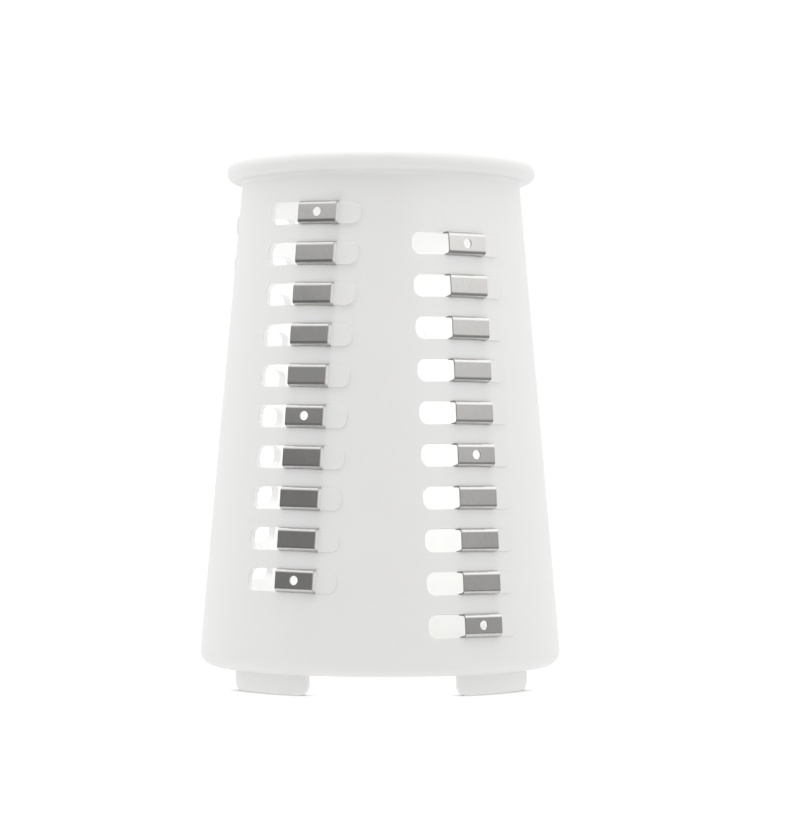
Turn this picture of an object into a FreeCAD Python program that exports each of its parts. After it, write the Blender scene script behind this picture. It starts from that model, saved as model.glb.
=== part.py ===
import FreeCAD, Part
import os
import Sketcher

# Grating drum of a rotary cheese grater: a moulded plastic cone with five stamped steel cutter strips in
# its wall, two on the front and three on the back. Millimetres and degrees. +Z is the drum's axis, the origin
# is on the axis at the feet of the drive lugs, and the front is -Y. Azimuths count from the front to +X.

doc = FreeCAD.newDocument("GratingDrum")
sheet = doc.addObject("Spreadsheet::Sheet", "Size")

# Driving dimensions
sizes = {
    # cone
    "total_height": 110.8,
    "base_radius": 38.58,       # outside, where the cone meets the base plane
    "cone_slope": 5.06,         # the wall's lean
    "wall": 1.5,
    "base_corner": 3.2,
    "base_thickness": 2.0,
    "base_opening": 31.7,       # radius of the wide end's opening
    # rim of the narrow end
    "rim_radius": 32.75,
    "rim_height": 4.1,
    "rim_edge": 1.95,
    "rim_root": 0.8,
    "mouth_radius": 27.6,
    "mouth_edge": 0.6,
    # drive lugs under the base
    "lug_height": 4.2,
    "lug_count": 4,
    "lug_azimuth": 45,
    "lug_outer": 34.1,
    "lug_inner": 32.5,
    "lug_spread": 36.2,         # angle that one lug takes up
    "lug_corner": 2.0,
    "lug_edge": 0.4,
    # slots and the ramps behind the cutters, in the plane that touches the cone along a column
    "front_azimuth": 30.4,      # each front column's angle from the front
    "back_pitch": 60,           # from one back column to the next
    "slot_reach": 10.6,         # from the column's middle to the slot's end, and to the ramp's
    "slot_height": 4.7,
    "slot_corner": 1.8,
    "ramp_start": 0.15,         # depth of the ramp's top below that plane behind the cutter
    "ramp_end": 1.2,            # and at its far end
    "plug_length": 1.9,         # plastic that closes the bridge's blind end
    "plug_depth": 1.2,
    "plug_height": 4.21,
    # cutter strips
    "bridge_count": 10,
    "steel": 0.35,              # sheet thickness
    "strip_width": 8.8,
    "bridge_rise": 1.05,        # from the column's plane out to the bridge's face
    "web_depth": 0.97,          # from the column's plane in to the web's outer face
    "bridge_head": 4.5,         # the bridge's size along the column at its face
    "bridge_foot": 4.89,        # and at its webs
    "bend": 0.85,
    "flank": 0.3,               # a bridge's flank, measured along the column
    "pilot_hole": 1.9,
    "cut_length": 10,           # how far the slots and holes are cut, well past the wall
    # the two kinds of column: one starts high, the other half a pitch lower
    "high_pitch": 8.355,
    "high_middle": 60.93,       # height of the column's middle
    "high_offset": 1.86,        # the strip's middle from the column's, to the right
    "high_slant": 1.0,
    "low_pitch": 8.657,
    "low_middle": 53.24,
    "low_offset": 1.07,
    "low_slant": 0.25,
}
for row, (alias, number) in enumerate(sizes.items(), start=1):
    sheet.set("A%d" % row, alias)
    sheet.set("B%d" % row, str(number))
    sheet.setAlias("B%d" % row, alias)
doc.recompute()


def value(expression):
    return float(sheet.evalExpression(expression))


def origin_feature(body, role):
    return next(feature for feature in body.Origin.OriginFeatures if feature.Role == role)


def new_body(label):
    body = doc.addObject("PartDesign::Body", label)
    body.Label = label
    return body


def new_sketch(body, name, plane):
    sketch = body.newObject("Sketcher::SketchObject", name)
    sketch.AttachmentSupport = [(origin_feature(body, plane), "")]
    sketch.MapMode = "FlatFace"
    return sketch


def pin_point(sketch, geometry, position, across, up):
    """Hold one point of a sketch at two expressions, measured from the sketch's origin."""
    for kind, expression in (("DistanceX", across), ("DistanceY", up)):
        place = sketch.addConstraint(Sketcher.Constraint(kind, -1, 1, geometry, position, value(expression)))
        sketch.setExpression("Constraints[%d]" % place, expression)


def straight_outline(body, name, plane, corners):
    """A closed sketch of straight sides, with two expressions for each corner."""
    sketch = new_sketch(body, name, plane)
    points = [FreeCAD.Vector(value(across), value(up), 0) for across, up in corners]
    count = len(corners)
    for index in range(count):
        sketch.addGeometry(Part.LineSegment(points[index], points[(index + 1) % count]))
    for index, (across, up) in enumerate(corners):
        sketch.addConstraint(Sketcher.Constraint("Coincident", index, 2, (index + 1) % count, 1))
        pin_point(sketch, index, 1, across, up)
    return sketch


def pad(body, name, sketch, length):
    feature = body.newObject("PartDesign::Pad", name)
    feature.Profile = sketch
    feature.SideType = "Symmetric"
    feature.setExpression("Length", length)
    return feature


def down_the_column(body, name, features, pitch):
    """Repeat features of the first cell for every bridge of the column."""
    pattern = body.newObject("PartDesign::LinearPattern", name)
    pattern.Originals = features
    pattern.Direction = (origin_feature(body, "Z_Axis"), [""])
    pattern.Reversed = True
    pattern.setExpression("Length", "(Size.bridge_count - 1) * %s" % pitch)
    pattern.setExpression("Occurrences", "Size.bridge_count")
    body.Tip = pattern
    doc.recompute()
    return pattern


def fillet(body, name, base, radius, chosen):
    """Round the edges of base that the function chosen picks."""
    doc.recompute()
    edges = ["Edge%d" % number for number, edge in enumerate(base.Shape.Edges, start=1) if chosen(edge)]
    feature = body.newObject("PartDesign::Fillet", name)
    feature.Base = (base, edges)
    feature.setExpression("Radius", radius)
    body.Tip = feature
    doc.recompute()
    return feature


def near(first, second):
    return abs(first - second) < 0.01


def runs_along(edge, axis):
    """True for a straight edge parallel to an axis of the body."""
    if not isinstance(edge.Curve, Part.Line):
        return False
    return abs(edge.Curve.Direction.dot(axis)) > 0.999


def column_placement(azimuth, kind):
    """Frame of a column: X to the right and -Y outwards, on the cone, with its origin at the first bridge."""
    radius = "(Size.base_radius - (Size.%s_middle - Size.lug_height) * tan(Size.cone_slope))" % kind
    middle = "vector(%s * sin(%s); -%s * cos(%s); Size.%s_middle)" % (radius, azimuth, radius, azimuth, kind)
    turn = "rotation(vector(0; 0; 1); %s)" % azimuth
    lean = "rotation(vector(1; 0; 0); -Size.cone_slope)"
    slant = "rotation(vector(0; 1; 0); Size.%s_slant)" % kind
    climb = "vector(0; 0; (Size.bridge_count - 1) / 2 * Size.%s_pitch)" % kind
    return (
        "create(<<placement>>; %s; %s * %s * %s)" % (middle, turn, lean, slant)
        + " * create(<<placement>>; %s; rotation(vector(0; 0; 1); 0))" % climb
    )


X_AXIS = FreeCAD.Vector(1, 0, 0)
Y_AXIS = FreeCAD.Vector(0, 1, 0)
PIERCED_BRIDGES = (0, 5, 9)     # bridges with a pilot hole, counted from the top


def cutter_strip(number, azimuth, kind):
    """One corrugated steel ribbon: ten raised bridges, with a web buried in the wall between each two."""
    body = new_body("cutter_strip_%d" % (number + 1))
    pitch = "Size.%s_pitch" % kind
    face_out = "-Size.bridge_rise"
    face_in = "Size.steel - Size.bridge_rise"
    web_out = "Size.web_depth"
    web_in = "Size.web_depth + Size.steel"
    head = "Size.bridge_head / 2"
    foot = "Size.bridge_foot / 2"
    bends = [
        (web_in, "%s / 2" % pitch),
        (web_out, "%s / 2" % pitch),
        (web_out, foot),
        (face_out, head),
        (face_out, "-" + head),
        (web_out, "-" + foot),
        (web_out, "-%s / 2" % pitch),
        (web_in, "-%s / 2" % pitch),
        (web_in, "Size.flank - " + foot),
        (face_in, "Size.flank - " + head),
        (face_in, head + " - Size.flank"),
        (web_in, foot + " - Size.flank"),
    ]
    ribbon = straight_outline(body, "RibbonProfile%d" % number, "YZ_Plane", bends)
    aside = "create(<<placement>>; vector(0; 0; Size.%s_offset); rotation(vector(0; 0; 1); 0))" % kind
    ribbon.setExpression("AttachmentOffset", aside)
    bridge = pad(body, "Bridge%d" % number, ribbon, "Size.strip_width")
    bridges = down_the_column(body, "Bridges%d" % number, [bridge], pitch)
    outside = value("-Size.bridge_rise")
    inside = outside + value("Size.steel")
    bent = fillet(body, "OuterBends%d" % number, bridges, "Size.bend",
                  lambda edge: runs_along(edge, X_AXIS) and near(edge.CenterOfMass.y, outside))
    bent = fillet(body, "InnerBends%d" % number, bent, "Size.bend - Size.steel",
                  lambda edge: runs_along(edge, X_AXIS) and near(edge.CenterOfMass.y, inside))
    holes = new_sketch(body, "PilotHoles%d" % number, "XZ_Plane")
    for index, bridge_number in enumerate(PIERCED_BRIDGES):
        start = FreeCAD.Vector(0, -bridge_number * value(pitch), 0)
        holes.addGeometry(Part.Circle(start, FreeCAD.Vector(0, 0, 1), value("Size.pilot_hole / 2")))
        pin_point(holes, index, 3, "Size.%s_offset" % kind, "-%d * %s" % (bridge_number, pitch))
        place = holes.addConstraint(Sketcher.Constraint("Diameter", index, value("Size.pilot_hole")))
        holes.setExpression("Constraints[%d]" % place, "Size.pilot_hole")
    pierced = body.newObject("PartDesign::Pocket", "Pierced%d" % number)
    pierced.Profile = holes
    pierced.SideType = "Symmetric"
    pierced.setExpression("Length", "Size.cut_length")
    body.Tip = pierced
    body.setExpression("Placement", column_placement(azimuth, kind))
    return body


def slot_tools(number, azimuth, kind):
    """What is cut from the wall for one column: a throat that runs from its open end in under the cutter."""
    body = new_body("slots_%d" % (number + 1))
    far = "Size.%s_offset + Size.strip_width / 2 - Size.plug_length" % kind
    half = "Size.slot_height / 2"
    corners = [
        ("-Size.slot_reach", "-" + half),
        (far, "-" + half),
        (far, half),
        ("-Size.slot_reach", half),
    ]
    throat = straight_outline(body, "ThroatOutline%d" % number, "XZ_Plane", corners)
    slot = pad(body, "Throat%d" % number, throat, "Size.cut_length")
    slots = down_the_column(body, "Throats%d" % number, [slot], "Size.%s_pitch" % kind)
    end = value("-Size.slot_reach")
    fillet(body, "ThroatEnds%d" % number, slots, "Size.slot_corner",
           lambda edge: runs_along(edge, Y_AXIS) and near(edge.CenterOfMass.x, end))
    body.setExpression("Placement", column_placement(azimuth, kind))
    return body


def ramp_tools(number, azimuth, kind):
    """What stands out of the wall for one column: a plug in each bridge's blind end, and a ramp behind it."""
    body = new_body("ramps_%d" % (number + 1))
    edge_of_strip = "Size.%s_offset + Size.strip_width / 2" % kind
    ramp_corners = [
        ("%s - Size.plug_length / 2" % edge_of_strip, "Size.plug_depth"),
        ("%s - Size.plug_length / 2" % edge_of_strip, "Size.ramp_start"),
        (edge_of_strip, "Size.ramp_start"),
        ("Size.slot_reach", "Size.ramp_end"),
        ("Size.slot_reach", "Size.ramp_end + Size.plug_depth"),
    ]
    ramp_profile = straight_outline(body, "RampProfile%d" % number, "XY_Plane", ramp_corners)
    ramp = pad(body, "Ramp%d" % number, ramp_profile, "Size.slot_height")
    ramps = down_the_column(body, "Ramps%d" % number, [ramp], "Size.%s_pitch" % kind)
    end = value("Size.slot_reach")
    rounded = fillet(body, "RampEnds%d" % number, ramps, "Size.slot_corner",
                     lambda edge: runs_along(edge, Y_AXIS) and near(edge.CenterOfMass.x, end))
    plug_corners = [
        ("%s - Size.plug_length" % edge_of_strip, "Size.plug_depth"),
        ("%s - Size.plug_length" % edge_of_strip, "Size.steel - Size.bridge_rise"),
        (edge_of_strip, "Size.steel - Size.bridge_rise"),
        (edge_of_strip, "Size.plug_depth"),
    ]
    plug_profile = straight_outline(body, "PlugProfile%d" % number, "XY_Plane", plug_corners)
    plug = pad(body, "Plug%d" % number, plug_profile, "Size.plug_height")
    down_the_column(body, "Plugs%d" % number, [plug], "Size.%s_pitch" % kind)
    body.setExpression("Placement", column_placement(azimuth, kind))
    return body


def drum_shell():
    """The cone, its rim and its base as one turned shape, and the drive lugs."""
    body = new_body("shell")
    rim_foot = "Size.total_height - Size.rim_height"
    floor_top = "Size.lug_height + Size.base_thickness"
    skin = "Size.wall / cos(Size.cone_slope)"

    def cone_radius(height):
        return "Size.base_radius - (%s - Size.lug_height) * tan(Size.cone_slope)" % height

    corners = [
        ("Size.base_opening", "Size.lug_height"),
        ("Size.base_radius", "Size.lug_height"),
        (cone_radius("(%s)" % rim_foot), rim_foot),
        ("Size.rim_radius", rim_foot),
        ("Size.rim_radius", "Size.total_height"),
        ("Size.mouth_radius", "Size.total_height"),
        ("Size.mouth_radius", rim_foot),
        (cone_radius("(%s)" % rim_foot) + " - " + skin, rim_foot),
        (cone_radius("(%s)" % floor_top) + " - " + skin, floor_top),
        ("Size.base_opening", floor_top),
    ]
    profile = straight_outline(body, "WallProfile", "XZ_Plane", corners)
    turned = body.newObject("PartDesign::Revolution", "Wall")
    turned.Profile = profile
    turned.ReferenceAxis = (profile, ["V_Axis"])
    turned.Angle = 360
    body.Tip = turned

    lug_corners = [
        ("Size.lug_inner", "0"),
        ("Size.lug_outer", "0"),
        ("Size.lug_outer", "Size.lug_height + Size.base_thickness / 2"),
        ("Size.lug_inner", "Size.lug_height + Size.base_thickness / 2"),
    ]
    lug_profile = straight_outline(body, "LugProfile", "XZ_Plane", lug_corners)
    swung = "create(<<placement>>; vector(0; 0; 0); rotation(vector(0; 1; 0); Size.lug_azimuth))"
    lug_profile.setExpression("AttachmentOffset", swung)
    lug = body.newObject("PartDesign::Revolution", "Lug")
    lug.Profile = lug_profile
    lug.ReferenceAxis = (lug_profile, ["V_Axis"])
    lug.Midplane = True
    lug.setExpression("Angle", "Size.lug_spread")
    lugs = body.newObject("PartDesign::PolarPattern", "Lugs")
    lugs.Originals = [lug]
    lugs.Axis = (origin_feature(body, "Z_Axis"), [""])
    lugs.Angle = 360
    lugs.setExpression("Occurrences", "Size.lug_count")
    body.Tip = lugs
    doc.recompute()

    def ring(radius, height):
        def chosen(edge):
            if not isinstance(edge.Curve, Part.Circle) or len(edge.Vertexes) != 1:
                return False
            return near(edge.Curve.Radius, value(radius)) and near(edge.CenterOfMass.z, value(height))
        return chosen

    def around_lug_feet(edge):
        return edge.BoundBox.ZMax < value("Size.lug_height - 2 * Size.lug_edge")

    base_ring = ring("Size.base_radius", "Size.lug_height")
    inner_ring = ring(corners[8][0], floor_top)
    root_ring = ring(corners[2][0], rim_foot)
    lower_ring = ring("Size.rim_radius", rim_foot)
    upper_ring = ring("Size.rim_radius", "Size.total_height")
    mouth_ring = ring("Size.mouth_radius", "Size.total_height")
    rounded = fillet(body, "BaseCorner", lugs, "Size.base_corner", base_ring)
    rounded = fillet(body, "InnerCorner", rounded, "Size.base_corner - Size.wall", inner_ring)
    rounded = fillet(body, "RimRoot", rounded, "Size.rim_root", root_ring)
    rounded = fillet(body, "RimLowerEdge", rounded, "Size.rim_edge", lower_ring)
    rounded = fillet(body, "RimUpperEdge", rounded, "Size.rim_edge", upper_ring)
    rounded = fillet(body, "MouthEdge", rounded, "Size.mouth_edge", mouth_ring)
    rounded = fillet(body, "LugCorners", rounded, "Size.lug_corner",
                     lambda edge: isinstance(edge.Curve, Part.Line) and near(edge.BoundBox.ZMax, 0))
    fillet(body, "LugEdges", rounded, "Size.lug_edge", around_lug_feet)
    return body


columns = [
    (0, "(-Size.front_azimuth)", "high"),
    (1, "(Size.front_azimuth)", "low"),
    (2, "(180 - Size.back_pitch)", "high"),
    (3, "(180)", "low"),
    (4, "(180 + Size.back_pitch)", "high"),
]
shell = drum_shell()
strips = [cutter_strip(number, azimuth, kind) for number, azimuth, kind in columns]
ramps = [ramp_tools(number, azimuth, kind) for number, azimuth, kind in columns]
slots = [slot_tools(number, azimuth, kind) for number, azimuth, kind in columns]

# The drum: the shell with the ramps on it, less the slots and the room that the strips take up in the wall
solid = doc.addObject("Part::MultiFuse", "shell_with_ramps")
solid.Shapes = [shell] + ramps
cutters = doc.addObject("Part::Compound", "slots_and_strips")
cutters.Links = slots + strips
drum = doc.addObject("Part::Cut", "drum_body")
drum.Base = solid
drum.Tool = cutters
drum.Label = "drum_body"
doc.recompute()

for item in doc.Objects:
    if "Invalid" in item.State or "Error" in item.State:
        raise RuntimeError("%s did not rebuild: %s" % (item.Label, item.State))

os.makedirs("parts", exist_ok=True)
for item in [drum] + strips:
    if item.Shape.isNull() or not item.Shape.isValid():
        raise RuntimeError("%s has no valid shape" % item.Label)
    print(item.Label, "volume %.1f mm3," % item.Shape.Volume, len(item.Shape.Solids), "solid")
    item.Shape.exportStep("parts/%s.step" % item.Label)
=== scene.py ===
import math
import bpy
from mathutils import Matrix, Vector


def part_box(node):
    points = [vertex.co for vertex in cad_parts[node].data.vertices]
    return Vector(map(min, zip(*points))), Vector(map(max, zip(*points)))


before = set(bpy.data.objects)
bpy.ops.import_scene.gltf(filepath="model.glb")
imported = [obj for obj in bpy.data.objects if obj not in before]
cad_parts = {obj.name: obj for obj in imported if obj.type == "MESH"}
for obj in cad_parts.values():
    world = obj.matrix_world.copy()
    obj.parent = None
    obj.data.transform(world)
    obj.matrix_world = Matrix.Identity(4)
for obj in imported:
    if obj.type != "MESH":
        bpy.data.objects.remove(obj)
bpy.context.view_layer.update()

mm = 0.001
print("frame loaded:", ", ".join(sorted(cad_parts)))


def toLinear(hexColour):
    # sRGB hex to the linear colour that the shaders work in
    channels = [int(hexColour[i:i + 2], 16) / 255 for i in (0, 2, 4)]
    return [c / 12.92 if c <= 0.04045 else ((c + 0.055) / 1.055) ** 2.4 for c in channels] + [1.0]


def addNode(tree, kind, settings=None, inputs=None):
    # one node with its settings; an input is a value or another node's output socket
    node = tree.nodes.new(kind)
    for name, value in (settings or {}).items():
        setattr(node, name, value)
    for name, value in (inputs or {}).items():
        socket = node.inputs[name]
        if isinstance(value, bpy.types.NodeSocket):
            tree.links.new(value, socket)
        else:
            socket.default_value = value
    return node


def newMaterial(name):
    material = bpy.data.materials.new(name)
    material.use_nodes = True
    material.node_tree.nodes.clear()
    return material, material.node_tree


def glowing(name, strength):
    # evenly lit white, for the things that light the scene
    material, tree = newMaterial(name)
    shine = addNode(tree, "ShaderNodeEmission", {}, {"Color": (1, 1, 1, 1), "Strength": strength})
    addNode(tree, "ShaderNodeOutputMaterial", {}, {"Surface": shine.outputs[0]})
    return material


def onlyReflected(card):
    # the card shows in reflections and does nothing else
    card.visible_camera = False
    card.visible_diffuse = False
    card.visible_shadow = False
    card.visible_transmission = False


plastic = {
    "colour": "efefee",
    "glossiest": 0.33,        # roughness, at its least and most
    "dullest": 0.44,
    "ior": 1.49,
    "mottle": 8.8 * mm,       # cloudy gloss left by the melt as it fills the mould
    "grain": 0.16 * mm,       # spark-eroded mould skin
    "grainHeight": 0.004 * mm,
    "softEdge": 0.22 * mm,
    "translucence": 0.25,
    "depth": 0.9 * mm,        # how far light goes into the plastic
}


def mouldedPlastic():
    # injection-moulded white ABS: satin, slightly translucent, so edges glow and shadows stay soft
    material, tree = newMaterial("moulded white ABS")
    place = addNode(tree, "ShaderNodeTexCoord").outputs["Object"]
    mottle = addNode(tree, "ShaderNodeTexNoise", {"noise_dimensions": "3D"}, {
        "Vector": place, "Scale": 1 / plastic["mottle"], "Detail": 3.0, "Roughness": 0.55})
    gloss = addNode(tree, "ShaderNodeMapRange", {}, {
        "Value": mottle.outputs["Fac"], "From Min": 0.3, "From Max": 0.7,
        "To Min": plastic["glossiest"], "To Max": plastic["dullest"]})
    grain = addNode(tree, "ShaderNodeTexNoise", {"noise_dimensions": "3D"}, {
        "Vector": place, "Scale": 1 / plastic["grain"], "Detail": 2.0, "Roughness": 0.5})
    softened = addNode(tree, "ShaderNodeBevel", {"samples": 6}, {"Radius": plastic["softEdge"]})
    skin = addNode(tree, "ShaderNodeBump", {}, {
        "Height": grain.outputs["Fac"], "Distance": plastic["grainHeight"], "Strength": 0.5,
        "Normal": softened.outputs["Normal"]})
    shader = addNode(tree, "ShaderNodeBsdfPrincipled", {"subsurface_method": "RANDOM_WALK"}, {
        "Base Color": toLinear(plastic["colour"]), "Roughness": gloss.outputs["Result"],
        "IOR": plastic["ior"], "Subsurface Weight": plastic["translucence"],
        "Subsurface Radius": (1.0, 0.95, 0.9), "Subsurface Scale": plastic["depth"],
        "Normal": skin.outputs["Normal"]})
    addNode(tree, "ShaderNodeOutputMaterial", {}, {"Surface": shader.outputs["BSDF"]})
    return material


steel = {
    "colour": "c8c7c5",
    # painted shade: the sheared edge is coloured darker than its matt steel, for the shadowed gap along the
    # edge
    "shearedEdgeShadeColour": "8f8e8c",
    "glossiest": 0.16,          # roughness, at its least and most
    "dullest": 0.23,
    "shearedRoughness": 0.55,
    "shearedSide": (-0.55, -0.75),   # a surface past these, facing the way the cutters cut, is sheared
    "lineSpacing": 0.14 * mm,   # rolling lines, drawn wider than real so that they show
    "lineLength": 5.0 * mm,
    "lineHeight": 0.0006 * mm,
    "lineTone": (0.94, 1.04),
    "cloud": 4.0 * mm,          # size of the faint patches in the gloss
}


def rolledSteel(name):
    # cold-rolled stainless sheet, stamped: satin grey faces with fine lines along the strip,
    # and a matt cutting edge where the punch sheared it, coloured dark as painted shade for the shadowed
    # gap along it
    material, tree = newMaterial("rolled stainless, " + name)
    low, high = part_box(name)
    middle = (low + high) / 2
    across = Vector((-middle.y, middle.x, 0)).normalized()
    place = addNode(tree, "ShaderNodeTexCoord").outputs["Object"]
    fine, long = 1 / steel["lineSpacing"], 1 / steel["lineLength"]
    along = addNode(tree, "ShaderNodeMapping", {}, {"Vector": place, "Scale": (fine, fine, long)})
    lines = addNode(tree, "ShaderNodeTexNoise", {"noise_dimensions": "3D"}, {
        "Vector": along.outputs["Vector"], "Scale": 1.0, "Detail": 4.0, "Roughness": 0.6})
    cloud = addNode(tree, "ShaderNodeTexNoise", {"noise_dimensions": "3D"}, {
        "Vector": place, "Scale": 1 / steel["cloud"], "Detail": 2.0})
    tone = addNode(tree, "ShaderNodeMapRange", {}, {
        "Value": lines.outputs["Fac"], "From Min": 0.3, "From Max": 0.7,
        "To Min": steel["lineTone"][0], "To Max": steel["lineTone"][1]})
    colour = addNode(tree, "ShaderNodeVectorMath", {"operation": "SCALE"}, {
        0: toLinear(steel["colour"])[:3], "Scale": tone.outputs["Result"]})
    facing = addNode(tree, "ShaderNodeVectorMath", {"operation": "DOT_PRODUCT"}, {
        0: addNode(tree, "ShaderNodeNewGeometry").outputs["True Normal"], 1: across})
    sheared = addNode(tree, "ShaderNodeMapRange", {}, {
        "Value": facing.outputs["Value"],
        "From Min": steel["shearedSide"][0], "From Max": steel["shearedSide"][1]})
    # the sheared side is matt and darker: partly sheared steel, partly painted shade for the gap along the
    # edge
    colour = addNode(tree, "ShaderNodeMix", {"data_type": "VECTOR"}, {
        0: sheared.outputs["Result"], 4: colour.outputs["Vector"], 5: toLinear(steel["shearedEdgeShadeColour"])[:3]})
    gloss = addNode(tree, "ShaderNodeMapRange", {}, {
        "Value": cloud.outputs["Fac"], "From Min": 0.3, "From Max": 0.7,
        "To Min": steel["glossiest"], "To Max": steel["dullest"]})
    gloss = addNode(tree, "ShaderNodeMix", {"data_type": "FLOAT"}, {
        0: sheared.outputs["Result"], 2: gloss.outputs["Result"], 3: steel["shearedRoughness"]})
    skin = addNode(tree, "ShaderNodeBump", {}, {
        "Height": lines.outputs["Fac"], "Distance": steel["lineHeight"], "Strength": 0.5})
    shader = addNode(tree, "ShaderNodeBsdfPrincipled", {}, {
        "Base Color": colour.outputs[1], "Metallic": 1.0, "Roughness": gloss.outputs[0],
        "Normal": skin.outputs["Normal"]})
    addNode(tree, "ShaderNodeOutputMaterial", {}, {"Surface": shader.outputs["BSDF"]})
    return material


whitePlastic = mouldedPlastic()
for name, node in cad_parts.items():
    node.material_slots[0].material = rolledSteel(name) if name.startswith("cutter") else whitePlastic
print("materials on the packed pieces")


stage = {
    "floorSize": 6.0,
    "glow": 0.84,          # share of the floor's white that comes from below, as on a light table
    "albedo": 0.22,
    "contactShadeReach": 3.0 * mm,   # how far the painted contact shadow round a foot reaches
}


def lightTable():
    # white acrylic lit from below, so that only a trace of shadow is left; round the feet its glow is
    # dimmed by ambient occlusion, a painted contact shadow
    material, tree = newMaterial("light table")
    # painted shadow: ambient occlusion darkens the floor's glow near each foot
    shade = addNode(tree, "ShaderNodeAmbientOcclusion", {"samples": 8}, {"Distance": stage["contactShadeReach"]})
    strength = addNode(tree, "ShaderNodeMath", {"operation": "MULTIPLY"}, {
        0: shade.outputs["AO"], 1: stage["glow"]})
    glow = addNode(tree, "ShaderNodeEmission", {}, {"Color": (1, 1, 1, 1), "Strength": strength.outputs[0]})
    card = addNode(tree, "ShaderNodeBsdfDiffuse", {}, {"Color": [stage["albedo"]] * 3 + [1]})
    both = addNode(tree, "ShaderNodeAddShader", {}, {0: glow.outputs[0], 1: card.outputs[0]})
    addNode(tree, "ShaderNodeOutputMaterial", {}, {"Surface": both.outputs[0]})
    return material


bpy.ops.object.select_all(action="DESELECT")
bpy.ops.mesh.primitive_plane_add(size=stage["floorSize"], location=(0, 0, 0))
floor = bpy.context.active_object
floor.name = "floor"
floor.data.materials.append(lightTable())
floor.visible_diffuse = False   # the light that reaches the drum through it is the tent's "below"

tent = {
    "white": 1.02,         # the tent's walls, seen by the camera as the background
    "bright": 1.06,        # what they shed on the drum from the sides, the back and above
    "dim": 0.45,           # the open side of the tent, behind the camera
    "below": 1.0,          # what comes up through the table
    "rise": (0.25, 0.75),      # from here up, counted from level to overhead, the tent is bright
    "side": (-0.85, -0.25),    # and from here back, counted from the front
}


def addTent():
    # a white light tent, open and dim on the camera's side
    scene = bpy.context.scene
    world = bpy.data.worlds.new("light tent")
    scene.world = world
    world.use_nodes = True
    tree = world.node_tree
    tree.nodes.clear()
    place = addNode(tree, "ShaderNodeTexCoord").outputs["Generated"]
    axes = addNode(tree, "ShaderNodeSeparateXYZ", {}, {"Vector": place})
    above = addNode(tree, "ShaderNodeMapRange", {"interpolation_type": "SMOOTHSTEP"}, {
        "Value": axes.outputs["Z"], "From Min": tent["rise"][0], "From Max": tent["rise"][1]})
    behind = addNode(tree, "ShaderNodeMapRange", {"interpolation_type": "SMOOTHSTEP"}, {
        "Value": axes.outputs["Y"], "From Min": tent["side"][0], "From Max": tent["side"][1]})
    lit = addNode(tree, "ShaderNodeMath", {"operation": "MAXIMUM"}, {
        0: above.outputs["Result"], 1: behind.outputs["Result"]})
    upper = addNode(tree, "ShaderNodeMapRange", {}, {
        "Value": lit.outputs[0], "To Min": tent["dim"], "To Max": tent["bright"]})
    under = addNode(tree, "ShaderNodeMath", {"operation": "LESS_THAN"}, {0: axes.outputs["Z"], 1: 0.0})
    tone = addNode(tree, "ShaderNodeMix", {"data_type": "FLOAT"}, {
        0: under.outputs[0], 2: upper.outputs["Result"], 3: tent["below"]})
    seen = addNode(tree, "ShaderNodeLightPath").outputs["Is Camera Ray"]
    strength = addNode(tree, "ShaderNodeMix", {"data_type": "FLOAT"}, {
        0: seen, 2: tone.outputs[0], 3: tent["white"]})
    shine = addNode(tree, "ShaderNodeBackground", {}, {
        "Color": (1, 1, 1, 1), "Strength": strength.outputs[0]})
    addNode(tree, "ShaderNodeOutputWorld", {}, {"Surface": shine.outputs[0]})
    scene.view_settings.view_transform = "Standard"


addTent()

# Cards that only reflections see: dark at the table's edge, light above and lighter near the drum,
# so that a lower cutter is darker and a dark line runs along each lower bend
cards = {
    "near": 70 * mm,
    "far": 260 * mm,
    "width": 420 * mm,
    "top": 420 * mm,
    "lift": 1 * mm,        # clear of the table
    "azimuth": 60,         # the way that a front cutter's face looks on at the camera
    # distance along the card from its edge near the drum, in mm, and its glow there
    "left": [(0, 0.34), (70, 0.24), (150, 0.17), (190, 0.16), (240, 0.28), (265, 0.22), (300, 0.43),
             (315, 0.36), (350, 0.85), (420, 1.25)],
    "right": [(0, 0.40), (70, 0.32), (150, 0.26), (190, 0.40), (250, 0.56), (305, 0.95), (350, 1.46),
              (420, 1.70)],
}


def gradedCard(side, azimuth, glows):
    # the glow follows the way along the card: out over the table, then up
    material, tree = newMaterial("graded card " + side)
    place = addNode(tree, "ShaderNodeTexCoord").outputs["Object"]
    out = addNode(tree, "ShaderNodeVectorMath", {"operation": "DOT_PRODUCT"}, {
        0: place, 1: (math.sin(azimuth), -math.cos(azimuth), 1)})
    length = glows[-1][0] * mm
    way = addNode(tree, "ShaderNodeMapRange", {}, {
        "Value": out.outputs["Value"], "From Min": cards["near"], "From Max": cards["near"] + length})
    ramp = addNode(tree, "ShaderNodeValToRGB", {}, {"Fac": way.outputs["Result"]})
    steps = ramp.color_ramp.elements
    brightest = max(glow for _, glow in glows)
    while len(steps) < len(glows):
        steps.new(0.5)
    # every place first, because moving a step can change the steps' order
    for step, (along, glow) in zip(steps, glows):
        step.position = along * mm / length
    for step, (along, glow) in zip(steps, glows):
        step.color = [glow / brightest] * 3 + [1]
    shine = addNode(tree, "ShaderNodeEmission", {}, {"Color": ramp.outputs["Color"], "Strength": brightest})
    addNode(tree, "ShaderNodeOutputMaterial", {}, {"Surface": shine.outputs[0]})
    return material


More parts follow.
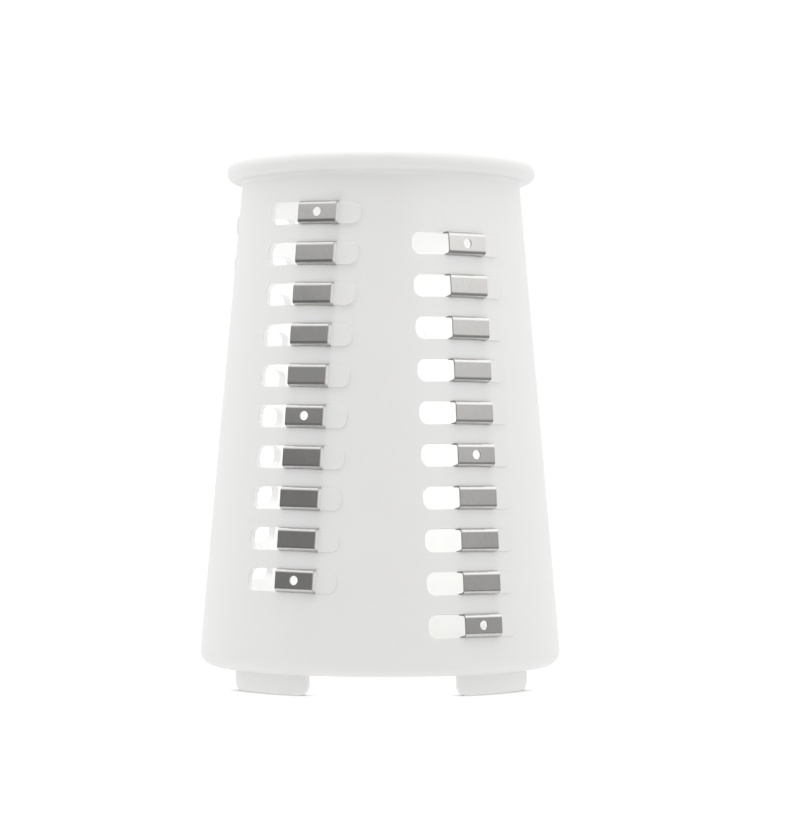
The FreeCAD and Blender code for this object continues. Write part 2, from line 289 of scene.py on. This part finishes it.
def addCard(side, sign):
    azimuth = math.radians(sign * cards["azimuth"])
    outwards = Vector((math.sin(azimuth), -math.cos(azimuth), 0))
    bpy.ops.object.select_all(action="DESELECT")
    depth = cards["far"] - cards["near"]
    middle = outwards * (cards["near"] + depth / 2) + Vector((0, 0, cards["lift"]))
    bpy.ops.mesh.primitive_plane_add(size=1, rotation=(0, 0, azimuth), location=middle)
    card = bpy.context.active_object
    card.name = "card_" + side
    card.scale = (cards["width"], depth, 1)
    bpy.ops.object.transform_apply(location=True, rotation=True, scale=True)
    bpy.ops.object.mode_set(mode="EDIT")
    bpy.ops.mesh.select_mode(type="EDGE")
    bpy.ops.mesh.select_all(action="DESELECT")
    bpy.ops.object.mode_set(mode="OBJECT")
    farEdge = max(card.data.edges, key=lambda edge: sum(
        (card.data.vertices[corner].co.dot(outwards) for corner in edge.vertices)))
    farEdge.select = True
    bpy.ops.object.mode_set(mode="EDIT")
    bpy.ops.mesh.extrude_edges_move(TRANSFORM_OT_translate={"value": (0, 0, cards["top"])})
    bpy.ops.object.mode_set(mode="OBJECT")
    card.data.materials.append(gradedCard(side, azimuth, cards[side]))
    onlyReflected(card)


addCard("left", -1)
addCard("right", 1)

# A card overhead, for the bright line along each upper bend
overhead = {"size": 500 * mm, "height": 330 * mm, "glow": 1.6}


def addOverheadCard():
    bpy.ops.object.select_all(action="DESELECT")
    bpy.ops.mesh.primitive_plane_add(size=overhead["size"], location=(0, 0, overhead["height"]))
    card = bpy.context.active_object
    card.name = "card_overhead"
    card.data.materials.append(glowing("overhead card", overhead["glow"]))
    onlyReflected(card)


addOverheadCard()

# A lit tube on the axis, so that the inside of the drum is as white as the tent
tube = {"sides": 24, "radius": 5 * mm, "low": 12 * mm, "high": 98 * mm, "glow": 2.5}


def addTube():
    bpy.ops.object.select_all(action="DESELECT")
    bpy.ops.mesh.primitive_cylinder_add(
        vertices=tube["sides"], radius=tube["radius"], depth=tube["high"] - tube["low"],
        location=(0, 0, (tube["high"] + tube["low"]) / 2))
    lamp = bpy.context.active_object
    lamp.name = "lit_tube"
    lamp.data.materials.append(glowing("lit tube", tube["glow"]))
    lamp.visible_camera = False
    lamp.visible_glossy = False
    lamp.visible_shadow = False


addTube()

softbox = {"size": 0.5, "height": 0.75, "forward": 0.12, "power": 1.0}
bpy.ops.object.light_add(type="AREA", location=(0, -softbox["forward"], softbox["height"]))
topLight = bpy.context.active_object
topLight.name = "softbox"
topLight.data.size = softbox["size"]
topLight.data.energy = softbox["power"]
topLight.rotation_euler = (-math.atan2(softbox["forward"], softbox["height"]), 0, 0)
print("stage and light in place")


view = {
    "distance": 600 * mm,
    "height": 50.3 * mm,
    "azimuth": -1.12,      # degrees round the drum, from straight in front
    "roll": 0.12,
    "lens": 121.4,
    "shift": (0.0144, 0.0378),
}
bearing = math.radians(view["azimuth"])
bpy.ops.object.camera_add(location=(
    view["distance"] * math.sin(bearing), -view["distance"] * math.cos(bearing), view["height"]))
camera = bpy.context.active_object
level = Matrix.Rotation(bearing, 4, "Z") @ Matrix.Rotation(math.pi / 2, 4, "X")
turn = level @ Matrix.Rotation(math.radians(view["roll"]), 4, "Z")
camera.rotation_euler = turn.to_euler()
camera.data.sensor_width = 36
camera.data.lens = view["lens"]
camera.data.shift_x, camera.data.shift_y = view["shift"]
camera.data.clip_start = 0.01
bpy.context.scene.camera = camera
print("camera in place")
